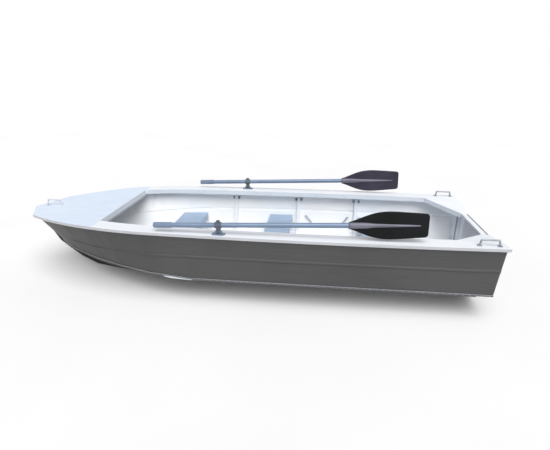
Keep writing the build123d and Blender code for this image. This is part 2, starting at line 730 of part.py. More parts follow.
BOW_HANDLE_X = BOW_X - 237
BOW_HANDLE_LENGTH = 124.0
STERN_HANDLE_X = STERN_X + 60
STERN_HANDLE_LENGTH = 130.0
STERN_HANDLE_Y = STERN_HALF - 44
with BuildPart() as bow_handle:
    add(handle_part(BOW_HANDLE_X, BOW_HANDLE_X + BOW_HANDLE_LENGTH, 0.0))
with BuildPart() as stern_handle_port:
    add(handle_part(STERN_HANDLE_X, STERN_HANDLE_X + STERN_HANDLE_LENGTH, STERN_HANDLE_Y))
with BuildPart() as stern_handle_starboard:
    mirror(stern_handle_port.part, about=Plane.XZ)

# Rowlock: deck base with two lugs, a fore and aft pin, and a yoke that rocks on it
ROW_X = 0.045 * BOW_X
ROW_Y = lip_half(ROW_X) - 43.5
PIN_Z = DECK_Z + 18.0
PIN_R = 5.0
RUN_GAP = 0.05
LUG_GAP = 28.0
LUG_THICK = 6.0
LUG_R = 11.0
BASE_THICK = 6.0
SPIGOT_R = 7.0
HUB_R = 17.0
OAR_Z = PIN_Z + 51.0
OAR_SLOPE = math.radians(2.5)
SHAFT_R = 17.5
AFT_ALONG = Vector(-math.cos(OAR_SLOPE), 0, math.sin(OAR_SLOPE))
OAR_PIVOT = Vector(ROW_X, ROW_Y, OAR_Z)
SHAFT_PLANE = Plane(origin=OAR_PIVOT, x_dir=(0, 1, 0), z_dir=AFT_ALONG)
GRIP_END = -462.0
GRIP_LENGTH = 130.0
BLADE_START = 885.0
BLADE_FULL = 1050.0
BLADE_TIP = 1402.0
BLADE_HALF = 94.0
BLADE_THICK = 8.0

BASE_LENGTH = 94.0
BASE_WIDTH = 46.0
BASE_CORNER = 13.0
LUG_CORNER = 6.0
with BuildPart() as rowlock_base_port:
    with BuildSketch(Plane(origin=(ROW_X, ROW_Y, DECK_Z), z_dir=(0, 0, 1))):
        plate = Rectangle(BASE_LENGTH, BASE_WIDTH)
        chamfer(plate.vertices(), length=BASE_CORNER)
    extrude(amount=BASE_THICK)
    for side in (-1, 1):
        start = ROW_X + side * (LUG_GAP / 2 + LUG_THICK / 2) - LUG_THICK / 2
        with BuildSketch(Plane.YZ.offset(start)) as lug:
            with Locations((ROW_Y, (DECK_Z + PIN_Z + LUG_R) / 2)):
                Rectangle(2 * LUG_R, PIN_Z + LUG_R - DECK_Z)
            chamfer(lug.vertices().group_by(Axis.Y)[-1], length=LUG_CORNER)
            with Locations((ROW_Y, PIN_Z)):
                Circle(PIN_R, mode=Mode.SUBTRACT)
        extrude(amount=LUG_THICK)
with BuildPart() as rowlock_base_starboard:
    mirror(rowlock_base_port.part, about=Plane.XZ)

PIN_HALF = LUG_GAP / 2 + LUG_THICK + 0.2
PIN_HEAD = 3.0
with BuildPart() as rowlock_pin_port:
    with BuildSketch(Plane.YZ.offset(ROW_X - PIN_HALF)):
        with Locations((ROW_Y, PIN_Z)):
            Circle(PIN_R - RUN_GAP)
    extrude(amount=2 * PIN_HALF)
    for start in (ROW_X - PIN_HALF - PIN_HEAD, ROW_X + PIN_HALF):
        with BuildSketch(Plane.YZ.offset(start)):
            with Locations((ROW_Y, PIN_Z)):
                RegularPolygon(PIN_R + PIN_HEAD + 1, 6)
        extrude(amount=PIN_HEAD)
with BuildPart() as rowlock_pin_starboard:
    mirror(rowlock_pin_port.part, about=Plane.XZ)

YOKE_HALF = LUG_GAP / 2 - 0.5
YOKE_TOP = PIN_Z + 18.0
with BuildPart() as rowlock_yoke_port:
    with BuildSketch(Plane.YZ.offset(ROW_X - YOKE_HALF)):
        with Locations((ROW_Y, PIN_Z)):
            RegularPolygon(LUG_R - 0.5, 8)
        with Locations((ROW_Y, (PIN_Z + YOKE_TOP) / 2)):
            Rectangle(2 * LUG_R - 8, YOKE_TOP - PIN_Z)
        with Locations((ROW_Y, PIN_Z)):
            Circle(PIN_R, mode=Mode.SUBTRACT)
    extrude(amount=2 * YOKE_HALF)
    with BuildSketch(Plane(origin=(ROW_X, ROW_Y, YOKE_TOP), z_dir=(0, 0, 1))):
        Circle(SPIGOT_R)
    extrude(amount=OAR_Z - SHAFT_R - 1 - YOKE_TOP)
with BuildPart() as rowlock_yoke_starboard:
    mirror(rowlock_yoke_port.part, about=Plane.XZ)

# Oar: collar on the yoke, tube, grip and blade
COLLAR_LENGTH = 46.0
CLAMP_R = SHAFT_R + 6
EAR_RISE = 11.0
EAR_LENGTH = 24.0
EAR_THICK = 5.0
EAR_GAP = 3.0
with BuildPart() as oar_collar_port:
    with BuildSketch(Plane(origin=(ROW_X, ROW_Y, YOKE_TOP + 0.5), z_dir=(0, 0, 1))):
        RegularPolygon(HUB_R, 8)
    extrude(amount=OAR_Z - YOKE_TOP - 0.5)
    with BuildSketch(SHAFT_PLANE):
        RegularPolygon(CLAMP_R, 8)
    extrude(amount=COLLAR_LENGTH / 2, both=True)
    with BuildSketch(Plane(origin=OAR_PIVOT, x_dir=(0, 1, 0), z_dir=(0, 0, 1))):
        for side in (-1, 1):
            with Locations((side * (EAR_THICK + EAR_GAP) / 2, 0)):
                Rectangle(EAR_THICK, EAR_LENGTH)
    extrude(amount=CLAMP_R + EAR_RISE)
    with BuildSketch(SHAFT_PLANE):
        Circle(SHAFT_R + SEAT_GAP)
    extrude(amount=COLLAR_LENGTH, both=True, mode=Mode.SUBTRACT)
    with BuildSketch(Plane(origin=(ROW_X, ROW_Y, YOKE_TOP), z_dir=(0, 0, 1))):
        Circle(SPIGOT_R + RUN_GAP)
    extrude(amount=OAR_Z - YOKE_TOP, mode=Mode.SUBTRACT)
with BuildPart() as oar_collar_starboard:
    mirror(oar_collar_port.part, about=Plane.XZ)

with BuildPart() as oar_shaft_port:
    with BuildSketch(SHAFT_PLANE.offset(GRIP_END + 4)):
        Circle(SHAFT_R)
        Circle(SHAFT_R - 2.5, mode=Mode.SUBTRACT)
    extrude(amount=BLADE_START + 110 - GRIP_END - 4)
with BuildPart() as oar_shaft_starboard:
    mirror(oar_shaft_port.part, about=Plane.XZ)

with BuildPart() as oar_grip_port:
    with BuildSketch(SHAFT_PLANE.offset(GRIP_END)):
        Circle(SHAFT_R + 3)
    extrude(amount=GRIP_LENGTH)
    chamfer(oar_grip_port.edges().sort_by(Axis.X)[-1], length=6)
    with BuildSketch(SHAFT_PLANE.offset(GRIP_END + 4 - SEAT_GAP)):
        Circle(SHAFT_R + SEAT_GAP)
    extrude(amount=GRIP_LENGTH, mode=Mode.SUBTRACT)
with BuildPart() as oar_grip_starboard:
    mirror(oar_grip_port.part, about=Plane.XZ)

BLADE_PLANE = Plane(origin=OAR_PIVOT, x_dir=AFT_ALONG, z_dir=(0, 1, 0))
SOCKET_R = SHAFT_R + 4
SOCKET_LENGTH = 150.0
TIP_R = 34.0
SHOULDER_R = 90.0
SPINE_HALF = 9.0
with BuildPart() as oar_blade_port:
    with BuildSketch(BLADE_PLANE) as outline:
        with BuildLine():
            Polyline(
                (BLADE_START, 0), (BLADE_START, SOCKET_R), (BLADE_FULL, BLADE_HALF),
                (BLADE_TIP, BLADE_HALF - 5), (BLADE_TIP, 0),
            )
            mirror(about=Plane.XZ)
        make_face()
        across = outline.vertices().group_by(Axis.X)
        fillet(across[-1], radius=TIP_R)
        fillet(outline.vertices().group_by(Axis.X)[1], radius=SHOULDER_R)
    extrude(amount=BLADE_THICK / 2, both=True)
    with BuildSketch(BLADE_PLANE):
        with BuildLine():
            Polyline(
                (BLADE_START + SOCKET_LENGTH - 20, 0), (BLADE_START + SOCKET_LENGTH - 20, SOCKET_R * 0.7),
                (BLADE_TIP - 90, 4), (BLADE_TIP - 90, 0),
            )
            mirror(about=Plane.XZ)
        make_face()
    extrude(amount=SPINE_HALF, both=True)
    with BuildSketch(SHAFT_PLANE.offset(BLADE_START)):
        Circle(SOCKET_R)
    extrude(amount=SOCKET_LENGTH)
    with BuildSketch(SHAFT_PLANE.offset(BLADE_START - 1)):
        Circle(SHAFT_R + SEAT_GAP)
    extrude(amount=112, mode=Mode.SUBTRACT)
with BuildPart() as oar_blade_starboard:
    mirror(oar_blade_port.part, about=Plane.XZ)

PIECES = {
    "side_port": side_port, "side_starboard": side_starboard,
    "bottom_port": bottom_port, "bottom_starboard": bottom_starboard,
    "fore_deck": fore_deck, "side_deck_port": side_deck_port, "side_deck_starboard": side_deck_starboard,
    "aft_deck_port": aft_deck_port, "aft_deck_starboard": aft_deck_starboard,
    "transom": transom, "motor_cap": motor_cap,
    "outer_motor_pad": outer_motor_pad, "inner_motor_pad": inner_motor_pad,
    "transom_post_port": transom_post_port, "transom_post_starboard": transom_post_starboard,
    "keel": keel, "runner_port": runner_port, "runner_starboard": runner_starboard,
    "chine_rail_port": chine_rail_port, "chine_rail_starboard": chine_rail_starboard,
    "frame_fore": frame_fore, "frame_middle": frame_middle, "frame_aft": frame_aft,
    "thwart_fore": thwart_fore, "thwart_middle": thwart_middle, "thwart_aft": thwart_aft,
    "brackets_port": brackets_port, "brackets_starboard": brackets_starboard,
    "chocks_port": chocks_port, "chocks_starboard": chocks_starboard,
    "bow_handle": bow_handle,
    "stern_handle_port": stern_handle_port, "stern_handle_starboard": stern_handle_starboard,
    "rowlock_base_port": rowlock_base_port, "rowlock_base_starboard": rowlock_base_starboard,
    "rowlock_pin_port": rowlock_pin_port, "rowlock_pin_starboard": rowlock_pin_starboard,
    "rowlock_yoke_port": rowlock_yoke_port, "rowlock_yoke_starboard": rowlock_yoke_starboard,
    "oar_collar_port": oar_collar_port, "oar_collar_starboard": oar_collar_starboard,
    "oar_shaft_port": oar_shaft_port, "oar_shaft_starboard": oar_shaft_starboard,
    "oar_grip_port": oar_grip_port, "oar_grip_starboard": oar_grip_starboard,
    "oar_blade_port": oar_blade_port, "oar_blade_starboard": oar_blade_starboard,
}
for name, piece in PIECES.items():
    piece.part.label = name
    export_step(piece.part, f"parts/{name}.step")
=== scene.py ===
"""Looks of the aluminium rowing boat, in metres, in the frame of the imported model."""
import json
import math

import bmesh
import bpy
from mathutils import Matrix, Vector


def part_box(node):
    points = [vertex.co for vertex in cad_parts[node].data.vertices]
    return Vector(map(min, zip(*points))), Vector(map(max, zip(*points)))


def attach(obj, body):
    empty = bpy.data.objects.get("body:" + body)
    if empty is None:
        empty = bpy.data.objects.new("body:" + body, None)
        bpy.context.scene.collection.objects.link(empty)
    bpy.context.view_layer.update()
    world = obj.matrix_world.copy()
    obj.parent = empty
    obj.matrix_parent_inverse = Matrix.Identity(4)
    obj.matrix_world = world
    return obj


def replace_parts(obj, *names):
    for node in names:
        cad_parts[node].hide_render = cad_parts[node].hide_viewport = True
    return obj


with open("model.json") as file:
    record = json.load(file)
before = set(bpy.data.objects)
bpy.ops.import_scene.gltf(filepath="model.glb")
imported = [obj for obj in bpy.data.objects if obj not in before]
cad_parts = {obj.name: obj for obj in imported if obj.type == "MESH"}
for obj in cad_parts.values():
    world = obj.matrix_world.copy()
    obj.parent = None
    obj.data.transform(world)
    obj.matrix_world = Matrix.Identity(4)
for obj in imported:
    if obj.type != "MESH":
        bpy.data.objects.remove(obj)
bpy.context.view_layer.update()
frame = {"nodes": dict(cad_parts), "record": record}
nodes = frame["nodes"]

# Render width, pixels
WIDTH = 550

# Camera found from the photograph
FOCAL_PX = 424.03
CAMERA_AT = Vector((-0.5908, 3.2931, 1.6740))
YAW = math.radians(5.976)
PITCH = math.radians(20.049)
ROLL = math.radians(-0.4716)
SENSOR_MM = 36

# Streaks of rolled sheet, as a scale for each axis
SHEET_STREAK = (1.2, 30, 55)
BRUSHED_STREAK = (1.5, 40, 60)
TOP_STREAK = (2.0, 9.0, 9.0)
FOLD_STREAK = (2.0, 12.0, 40.0)
UPRIGHT_STREAK = (30, 30, 4)
TUBE_STREAK = (1, 60, 60)
BAR_STREAK = (8, 8, 8)
CHOCK_STREAK = (20, 20, 20)
TIP_STREAK = (12, 12, 30)

# Lowest and highest roughness of deck and keel paint
PAINT_ROUGH = (0.42, 0.6)

# Painted shade: faces that point down by more than this, such as the pressed groove's lower slope, take a
# darker shade tone; the hull is also painted darker towards the bow between these places on X
GROOVE_SHADE_LIMIT = 0.64
BOW_SHADE_FADE = (0.55, 1.7)

# Gloss and roughness of the blades, and the size of the grain in plastic
BLADE_GLOSS = 0.15
BLADE_ROUGH = 0.55
GRAIN = 260.0


def linear(value):
    """One display value from 0 to 255 as a linear value."""
    share = value / 255
    if share <= 0.04045:
        return share / 12.92
    return ((share + 0.055) / 1.055) ** 2.4


def colour(red, green, blue):
    """Display colour as a linear one with alpha."""
    return (linear(red), linear(green), linear(blue), 1.0)


class Nodes:
    """Short way to build one material's node tree."""

    def __init__(self, name, rough, metal):
        self.material = bpy.data.materials.new(name)
        self.material.use_nodes = True
        self.tree = self.material.node_tree
        self.shader = self.tree.nodes["Principled BSDF"]
        self.shader.inputs["Roughness"].default_value = rough
        self.shader.inputs["Metallic"].default_value = metal
        self.place = self.add("ShaderNodeTexCoord").outputs["Object"]

    def add(self, kind, **values):
        node = self.tree.nodes.new(kind)
        for key, value in values.items():
            setattr(node, key, value)
        return node

    def link(self, start, end):
        self.tree.links.new(start, end)

    def stretched(self, scale):
        """Place with a scale for each axis."""
        mapping = self.add("ShaderNodeMapping")
        mapping.inputs["Scale"].default_value = scale
        self.link(self.place, mapping.inputs["Vector"])
        return mapping.outputs["Vector"]

    def noise(self, scale, detail=4.0, stretch=(1, 1, 1), rough=0.55):
        node = self.add("ShaderNodeTexNoise")
        node.inputs["Scale"].default_value = scale
        node.inputs["Detail"].default_value = detail
        node.inputs["Roughness"].default_value = rough
        self.link(self.stretched(stretch), node.inputs["Vector"])
        return node.outputs["Fac"]

    def ramp(self, factor, stops):
        """Colour ramp from (position, colour) stops."""
        node = self.add("ShaderNodeValToRGB")
        band = node.color_ramp
        while len(band.elements) < len(stops):
            band.elements.new(0.5)
        for element, (position, tone) in zip(band.elements, stops):
            element.position = position
            element.color = tone
        self.link(factor, node.inputs["Fac"])
        return node.outputs["Color"]

    def scaled(self, factor, low, high):
        """Factor from 0 to 1 moved to a range."""
        node = self.add("ShaderNodeMapRange")
        node.inputs["To Min"].default_value = low
        node.inputs["To Max"].default_value = high
        self.link(factor, node.inputs["Value"])
        return node.outputs["Result"]

    def mix(self, factor, first, second):
        node = self.add("ShaderNodeMix", data_type="RGBA")
        self.link(factor, node.inputs[0])
        self.link(first, node.inputs[6])
        self.link(second, node.inputs[7])
        return node.outputs[2]

    def bump(self, height, strength, distance):
        node = self.add("ShaderNodeBump")
        node.inputs["Strength"].default_value = strength
        node.inputs["Distance"].default_value = distance
        self.link(height, node.inputs["Height"])
        self.link(node.outputs["Normal"], self.shader.inputs["Normal"])

    def facing(self, direction, limit):
        """1 where the surface faces a direction of its own frame by more than a limit."""
        dot = self.add("ShaderNodeVectorMath", operation="DOT_PRODUCT")
        self.link(self.add("ShaderNodeTexCoord").outputs["Normal"], dot.inputs[0])
        dot.inputs[1].default_value = direction
        test = self.add("ShaderNodeMath", operation="GREATER_THAN")
        self.link(dot.outputs["Value"], test.inputs[0])
        test.inputs[1].default_value = limit
        return test.outputs[0]

    def along(self, axis):
        """The place on one axis."""
        split = self.add("ShaderNodeSeparateXYZ")
        self.link(self.place, split.inputs[0])
        return split.outputs[axis]

    def beyond(self, axis, limit):
        """1 where the place on an axis is over a limit."""
        test = self.add("ShaderNodeMath", operation="GREATER_THAN")
        self.link(self.along(axis), test.inputs[0])
        test.inputs[1].default_value = limit
        return test.outputs[0]

    def fade(self, axis, low, high):
        """0 to 1 between two places on an axis."""
        node = self.add("ShaderNodeMapRange")
        node.inputs["From Min"].default_value = low
        node.inputs["From Max"].default_value = high
        self.link(self.along(axis), node.inputs["Value"])
        return node.outputs["Result"]

    def base(self, tone):
        self.link(tone, self.shader.inputs["Base Color"])

    def roughness(self, value):
        self.link(value, self.shader.inputs["Roughness"])


def streaked(made, tones, streak):
    """Colour of rolled sheet: streaks over a slow cloud, and the streaks alone."""
    streaks = made.noise(3.0, 6.0, streak)
    cloud = made.noise(2.2, 3.0)
    mixed = made.add("ShaderNodeMath", operation="ADD")
    made.link(made.scaled(streaks, -0.25, 0.6), mixed.inputs[0])
    made.link(made.scaled(cloud, 0.0, 0.6), mixed.inputs[1])
    return made.ramp(mixed.outputs[0], [(0.2, tones[0]), (0.8, tones[1])]), streaks


def sheet_tone(made, tones, streak):
    """Colour of rolled sheet alone."""
    return streaked(made, tones, streak)[0]


def sheet_metal(name, dark, light, rough, metal, streak=BRUSHED_STREAK):
    """Brushed or rolled sheet with long streaks."""
    made = Nodes(name, rough, metal)
    tone, streaks = streaked(made, (dark, light), streak)
    made.base(tone)
    made.roughness(made.scaled(streaks, rough - 0.08, rough + 0.1))
    made.bump(streaks, 0.12, 0.002)
    return made.material


def two_faced(name, outside, inside, direction, limit, rough=0.5, streak=SHEET_STREAK, shade_tones=None):
    """Sheet painted one tone on the side that faces a direction and another behind.

    With shade tones for the pressed rib it also paints shade: darker towards the bow, and darker on faces
    that point down, such as the rib's lower slope.
    """
    made = Nodes(name, rough, 0.0)
    out_tone, out_streaks = streaked(made, outside, streak)
    in_tone = sheet_tone(made, inside, streak)
    if shade_tones:
        # Painted shade: the hull darker towards the bow
        bow_shade_tone = sheet_tone(made, HULL_BOW_SHADE, streak)
        out_tone = made.mix(made.fade("X", BOW_SHADE_FADE[0], BOW_SHADE_FADE[1]), out_tone, bow_shade_tone)
        # Painted shade on faces that point down, such as the pressed groove's lower slope
        groove_shade_tone = sheet_tone(made, shade_tones, streak)
        out_tone = made.mix(made.facing((0, 0, -1), GROOVE_SHADE_LIMIT), out_tone, groove_shade_tone)
    made.base(made.mix(made.facing(direction, limit), in_tone, out_tone))
    made.roughness(made.scaled(out_streaks, rough - 0.08, rough + 0.1))
    made.bump(out_streaks, 0.1, 0.002)
    return made.material


def deck_paint(name, top, outward, limit, fold=None, ledge_z=None):
    """Deck sheet: pale top, grey outer lip, and a coaming with a darker ledge below a height."""
    made = Nodes(name, 0.5, 0.0)
    top_tone, streaks = streaked(made, top, TOP_STREAK)
    lip_tone = sheet_tone(made, LIP, SHEET_STREAK)
    fold_tone = sheet_tone(made, fold or COAMING, FOLD_STREAK)
    if ledge_z is not None:
        ledge_tone = sheet_tone(made, LEDGE, FOLD_STREAK)
        fold_tone = made.mix(made.beyond("Z", ledge_z), ledge_tone, fold_tone)
    edge = made.mix(made.facing(outward, limit), fold_tone, lip_tone)
    made.base(made.mix(made.facing((0, 0, 1), 0.5), edge, top_tone))
    made.roughness(made.scaled(streaks, PAINT_ROUGH[0], PAINT_ROUGH[1]))
    made.bump(made.noise(90.0, 3.0), 0.06, 0.0008)
    return made.material


def split_paint(name, below, above, axis, limit):
    """Sheet painted one tone below a place on an axis and another above it."""
    made = Nodes(name, 0.5, 0.0)
    groove_shade_tone, streaks = streaked(made, below, SHEET_STREAK)
    high_tone = sheet_tone(made, above, SHEET_STREAK)
    made.base(made.mix(made.beyond(axis, limit), groove_shade_tone, high_tone))
    made.roughness(made.scaled(streaks, PAINT_ROUGH[0], PAINT_ROUGH[1]))
    made.bump(streaks, 0.1, 0.002)
    return made.material


def moulded(name, dark, light, rough, gloss=0.5):
    """Moulded plastic or paint with a fine grain."""
    made = Nodes(name, rough, 0.0)
    made.shader.inputs["Specular IOR Level"].default_value = gloss
    cloud = made.noise(4.0, 4.0)
    fine = made.noise(GRAIN, 2.0)
    made.base(made.ramp(cloud, [(0.3, dark), (0.75, light)]))
    made.roughness(made.scaled(fine, rough - 0.06, rough + 0.08))
    made.bump(fine, 0.15, 0.0006)
    return made.material


def blade_paint(name, outer, inner, direction):
    """Moulded blade with one tone on its outer face and another on its inner face; the inner tone is a
    painted reflection of the sky.
    """
    made = Nodes(name, BLADE_ROUGH, 0.0)
    made.shader.inputs["Specular IOR Level"].default_value = BLADE_GLOSS
    cloud = made.noise(4.0, 4.0)
    fine = made.noise(GRAIN, 2.0)
    outer_tone = made.ramp(cloud, [(0.3, outer[0]), (0.75, outer[1])])
    inner_reflection_tone = made.ramp(cloud, [(0.3, inner[0]), (0.75, inner[1])])
    made.base(made.mix(made.facing(direction, 0.0), inner_reflection_tone, outer_tone))
    made.roughness(made.scaled(fine, BLADE_ROUGH - 0.06, BLADE_ROUGH + 0.08))
    made.bump(fine, 0.15, 0.0006)
    return made.material


# Tones, each a darker and a lighter one
HULL = (colour(62, 62, 63), colour(80, 80, 80))
# Painted shade: the hull side darker towards the bow, standing in for the shade there
HULL_BOW_SHADE = (colour(30, 30, 31), colour(42, 42, 42))
# Painted shade on faces that point down: the lower slope of the pressed groove and the bow's flare
GROOVE_SHADE = (colour(40, 40, 41), colour(56, 56, 57))
# Painted shade: the outside of the bottom and the keel near-black, as they lie in shadow
UNDER_SHADE = (colour(20, 21, 22), colour(32, 33, 34))
INSIDE = (colour(245, 248, 252), colour(253, 254, 255))
STERN_INSIDE = (colour(222, 226, 236), colour(240, 243, 249))
COAMING = (colour(212, 220, 231), colour(234, 240, 248))
FORE_FOLD = (colour(240, 246, 252), colour(250, 253, 255))
LEDGE = (colour(182, 187, 196), colour(206, 211, 219))
CAP_EDGE = (colour(92, 86, 98), colour(120, 114, 126))
LIP = (colour(176, 178, 182), colour(202, 204, 208))
DECK = (colour(236, 241, 249), colour(248, 250, 254))
FORE = (colour(214, 228, 248), colour(230, 241, 254))
FRAME = (colour(226, 231, 239), colour(243, 246, 250))
# Painted highlight: the upward faces of the chine rail, bright as a lit line
RAIL_TOP_HIGHLIGHT = (colour(190, 194, 200), colour(226, 230, 235))
RAIL_SIDE = (colour(84, 84, 87), colour(106, 106, 109))
BLADE_OUTER = (colour(13, 15, 15), colour(25, 26, 28))
# Painted reflection: the blade's inner face lighter and purple-grey, standing in for the sky's sheen at a
# grazing angle
BLADE_INNER_REFLECTION = (colour(56, 53, 65), colour(73, 69, 83))
# Painted shade: the side of each frame that faces the bow, darker than its lit faces
FRAME_SHADED_SIDE = (colour(120, 129, 143), colour(150, 158, 171))

seat_paint = sheet_metal("seat_paint", colour(144, 167, 193), colour(182, 200, 223), 0.5, 0.1)
pad_paint = moulded("pad_paint", colour(44, 45, 52), colour(66, 68, 76), 0.7)
rowlock_steel = moulded("rowlock_steel", colour(72, 82, 97), colour(106, 119, 138), 0.4)
strake_metal = sheet_metal("strake_metal", RAIL_SIDE[0], RAIL_SIDE[1], 0.45, 0.1)
base_steel = moulded("base_steel", colour(100, 116, 138), colour(132, 148, 170), 0.4)
collar_steel = moulded("collar_steel", colour(74, 80, 92), colour(98, 106, 120), 0.4)
inner_pad_paint = moulded("inner_pad_paint", colour(184, 188, 200), colour(206, 210, 221), 0.6)
chock_tones = (colour(150, 158, 172), colour(182, 189, 201))
chock_metal = sheet_metal("chock_metal", chock_tones[0], chock_tones[1], 0.45, 0.1, CHOCK_STREAK)
pale_bar = sheet_metal("pale_bar", colour(196, 197, 210), colour(226, 226, 236), 0.35, 0.2, BAR_STREAK)
handle_metal = sheet_metal("handle_metal", colour(124, 130, 140), colour(178, 184, 192), 0.3, 0.4, BAR_STREAK)
oar_tube = sheet_metal("oar_tube", colour(98, 116, 140), colour(126, 144, 169), 0.35, 0.3, TUBE_STREAK)
grip_plastic = moulded("grip_plastic", colour(98, 116, 140), colour(124, 142, 166), 0.5)
blade_plastic = moulded("blade_plastic", BLADE_OUTER[0], BLADE_OUTER[1], BLADE_ROUGH, BLADE_GLOSS)
# Painted highlight: the blade's spine lighter than the near-black blade, where the light catches it
spine_highlight_plastic = moulded("spine_highlight_plastic", colour(94, 93, 108), colour(122, 121, 138), 0.4)

# Finish of a slot, for the nodes that have none of their own
BY_SLOT = {
    # Frames with painted shade on their sides that face the bow
    "frame_metal": two_faced("frame_shaded_side_paint", FRAME_SHADED_SIDE, FRAME, (1, 0, 0), 0.5),
    "seat_paint": seat_paint,
    "motor_pad": pad_paint,
    "rowlock_steel": rowlock_steel,
    "handle_metal": handle_metal,
    "oar_tube": oar_tube,
    "oar_plastic": blade_plastic,
}

# Places where one piece changes its paint
FORE_LEDGE_Z = 0.556
# Height where the keel's painted shade changes from the bottom's near-black to the bow's shade tone
STEM_PAINT_Z = 0.190
CAP_EDGE_X = -1.8385

# Finish of a node
BY_NODE = {
    # The hull sides carry painted shade towards the bow and on faces that point down
    "side_port": two_faced("side_port_paint", HULL, INSIDE, (0, 1, 0), 0.0, shade_tones=GROOVE_SHADE),
    "side_starboard": two_faced("side_starboard_paint", HULL, INSIDE, (0, -1, 0), 0.0, shade_tones=GROOVE_SHADE),
    # Painted shade: the bottom's outside near-black; the keel near-black below the stem height and with the
    # bow's painted shade above it
    "bottom_port": two_faced("bottom_shade_paint", UNDER_SHADE, INSIDE, (0, 0, -1), 0.0),
    "transom": two_faced("transom_paint", HULL, STERN_INSIDE, (-1, 0, 0), 0.0, streak=UPRIGHT_STREAK),
    "keel": split_paint("keel_shade_paint", UNDER_SHADE, HULL_BOW_SHADE, "Z", STEM_PAINT_Z),
    "fore_deck": deck_paint("fore_deck_paint", FORE, (1, 0, 0), -0.3, FORE_FOLD, FORE_LEDGE_Z),
    "side_deck_port": deck_paint("port_deck_paint", DECK, (0, 1, 0), 0.0),
    "side_deck_starboard": deck_paint("starboard_deck_paint", DECK, (0, -1, 0), 0.0),
    "aft_deck_port": deck_paint("port_corner_paint", DECK, (-1, 1, 0), 0.3),
    "aft_deck_starboard": deck_paint("starboard_corner_paint", DECK, (-1, -1, 0), 0.3),
    "motor_cap": split_paint("cap_paint", CAP_EDGE, DECK, "X", CAP_EDGE_X),
    "oar_grip_port": grip_plastic,
    "oar_grip_starboard": grip_plastic,
    "oar_collar_port": collar_steel,
    "oar_collar_starboard": collar_steel,
    "inner_motor_pad": inner_pad_paint,
    "bow_handle": pale_bar,
    # Chine rails: painted highlight on their upward faces, the rail's own grey elsewhere
    "chine_rail_port": two_faced("rail_highlight_paint", RAIL_TOP_HIGHLIGHT, RAIL_SIDE, (0, 0, 1), 0.3),
    "runner_port": strake_metal,
    "runner_starboard": strake_metal,
    "rowlock_base_port": base_steel,
    "rowlock_base_starboard": base_steel,
    "chocks_port": chock_metal,
    "chocks_starboard": chock_metal,
}
BY_NODE["bottom_starboard"] = BY_NODE["bottom_port"]
BY_NODE["chine_rail_starboard"] = BY_NODE["chine_rail_port"]
for entry in frame["record"]["subparts"]:
    node = entry["node"]
    mesh = nodes[node].data
    mesh.materials.clear()
    mesh.materials.append(BY_NODE[node] if node in BY_NODE else BY_SLOT[entry["material_slot"]])


def piece(name, points, faces, materials, body, smooth=True):
    """New mesh piece that rides on a body."""
    mesh = bpy.data.meshes.new(name)
    mesh.from_pydata([tuple(point) for point in points], [], faces)
    mesh.update()
    for material in materials:
        mesh.materials.append(material)
    for polygon in mesh.polygons:
        polygon.use_smooth = smooth
    made = bpy.data.objects.new(name, mesh)
    bpy.context.scene.collection.objects.link(made)
    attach(made, body)
    return made


def outward_normals(made):
    """Turn the faces of a closed piece outward."""
    mesh = bmesh.new()
    mesh.from_mesh(made.data)
    bmesh.ops.recalc_face_normals(mesh, faces=mesh.faces)
    mesh.to_mesh(made.data)
    mesh.free()


# Oar blades: leaf outline in metres from the rowlock pivot along the oar, and half breadth
SIDES = (("port", 1), ("starboard", -1))
OAR_PIVOT = Vector((0.08325, 0.611455, 0.671))
OAR_SLOPE = math.radians(2.5)
OAR_AFT = Vector((-math.cos(OAR_SLOPE), 0, math.sin(OAR_SLOPE)))
OAR_UP = Vector((math.sin(OAR_SLOPE), 0, math.cos(OAR_SLOPE)))
LEAF = [
    (0.885, 0.0226), (0.900, 0.0275), (0.920, 0.0345), (0.945, 0.0445), (0.975, 0.0575), (1.005, 0.0695),
    (1.035, 0.0800), (1.065, 0.0880), (1.095, 0.0935), (1.125, 0.0965), (1.155, 0.0975), (1.190, 0.0965),
    (1.230, 0.0940), (1.270, 0.0912), (1.310, 0.0882), (1.350, 0.0850), (1.376, 0.0829), (1.388, 0.0808),
    (1.396, 0.0768), (1.4005, 0.0705), (1.402, 0.0640),
]
# Columns: distance along the oar, half height of the spine, how far it stands out
SPINE = [
    (0.885, 0.0215, 0.0215), (1.000, 0.0205, 0.0205), (1.050, 0.0140, 0.0135),
    (1.330, 0.0052, 0.0075), (1.345, 0.0040, 0.0040),
]
SPINE_COLUMNS = 8
WING_COLUMNS = 9
PLATE_HALF = 0.0042
PLATE_THINS = 0.0012
EDGE_HALF = 0.0022
RIM_SHARE = 0.9


def between(rows, place):
    """Values of a table at a place, straight between its rows."""
    if place >= rows[-1][0]:
        return rows[-1][1:]
    for low, high in zip(rows, rows[1:]):
        if place <= high[0]:
            share = (place - low[0]) / (high[0] - low[0])
            return [a + (b - a) * share for a, b in zip(low[1:], high[1:])]


def blade_row(along, half):
    """Heights and half thicknesses across the blade at one place, from its lower to its upper edge."""
    spine_half, spine_out = between(SPINE, along)
    if along > SPINE[-1][0]:
        spine_out = 0.0
    columns = []
    for step in range(WING_COLUMNS):
        share = 1 - step / WING_COLUMNS
        height = spine_half + (half - spine_half) * share
        columns.append((-height, EDGE_HALF if share > RIM_SHARE else PLATE_HALF - PLATE_THINS * share))
    for step in range(SPINE_COLUMNS + 1):
        angle = math.pi * (step / SPINE_COLUMNS - 0.5)
        rise = spine_out * math.cos(angle)
        columns.append((spine_half * math.sin(angle), max(rise, PLATE_HALF)))
    wing = columns[:WING_COLUMNS]
    return columns + [(-height, thick) for height, thick in reversed(wing)]


